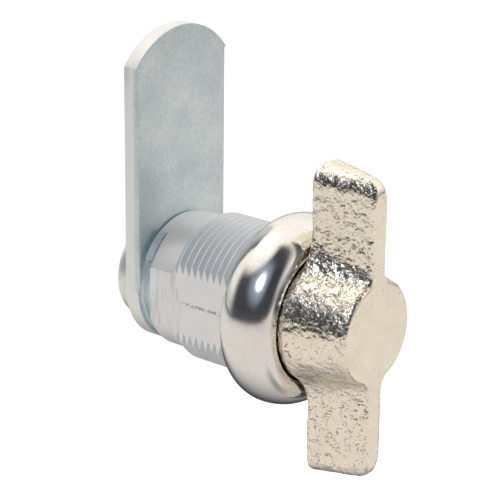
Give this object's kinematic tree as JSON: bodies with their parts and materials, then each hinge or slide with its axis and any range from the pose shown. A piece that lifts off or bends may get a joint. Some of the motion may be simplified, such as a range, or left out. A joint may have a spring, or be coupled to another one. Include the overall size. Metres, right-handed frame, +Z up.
{
  "type": "thumb turn cam lock",
  "caption": "Keyless cabinet cam lock: winged thumb turn, domed bezel, threaded barrel with two flats and a flat cam that swings a quarter turn.",
  "frame": {"origin": "where the lock axis meets the plane of the bezel's rear face, which rests on the front of the door", "axes": "+Y along the lock axis towards the cam, -Y towards the thumb turn, +Z up along the shut cam, +X right seen from the front"},
  "size_m": [0.024, 0.0368, 0.0526],
  "materials": {
    "barrel_zinc": "satin die-cast zinc",
    "bezel_steel": "polished",
    "turn_nickel": "hammered warm nickel plate",
    "spindle_zinc": "bright zinc plate",
    "seal_rubber": "matte",
    "spring_steel": "satin",
    "cam_steel": "zinc plated, satin",
    "screw_steel": "zinc plated, bright"
  },
  "bodies": {
    "housing": {"barrel": "barrel_zinc", "bezel_cap": "bezel_steel", "wave_washer": "spring_steel"},
    "turning_parts": {"thumb_turn": "turn_nickel", "spindle": "spindle_zinc", "o_ring": "seal_rubber", "cam": "cam_steel", "lock_washer": "spring_steel", "cam_screw": "screw_steel"}
  },
  "joints": [
    {"name": "quarter_turn", "type": "hinge", "parent": "housing", "child": "turning_parts", "pos_m": [0, 0, 0], "axis": [0, -1, 0], "range_deg": [0, 90]}
  ]
}
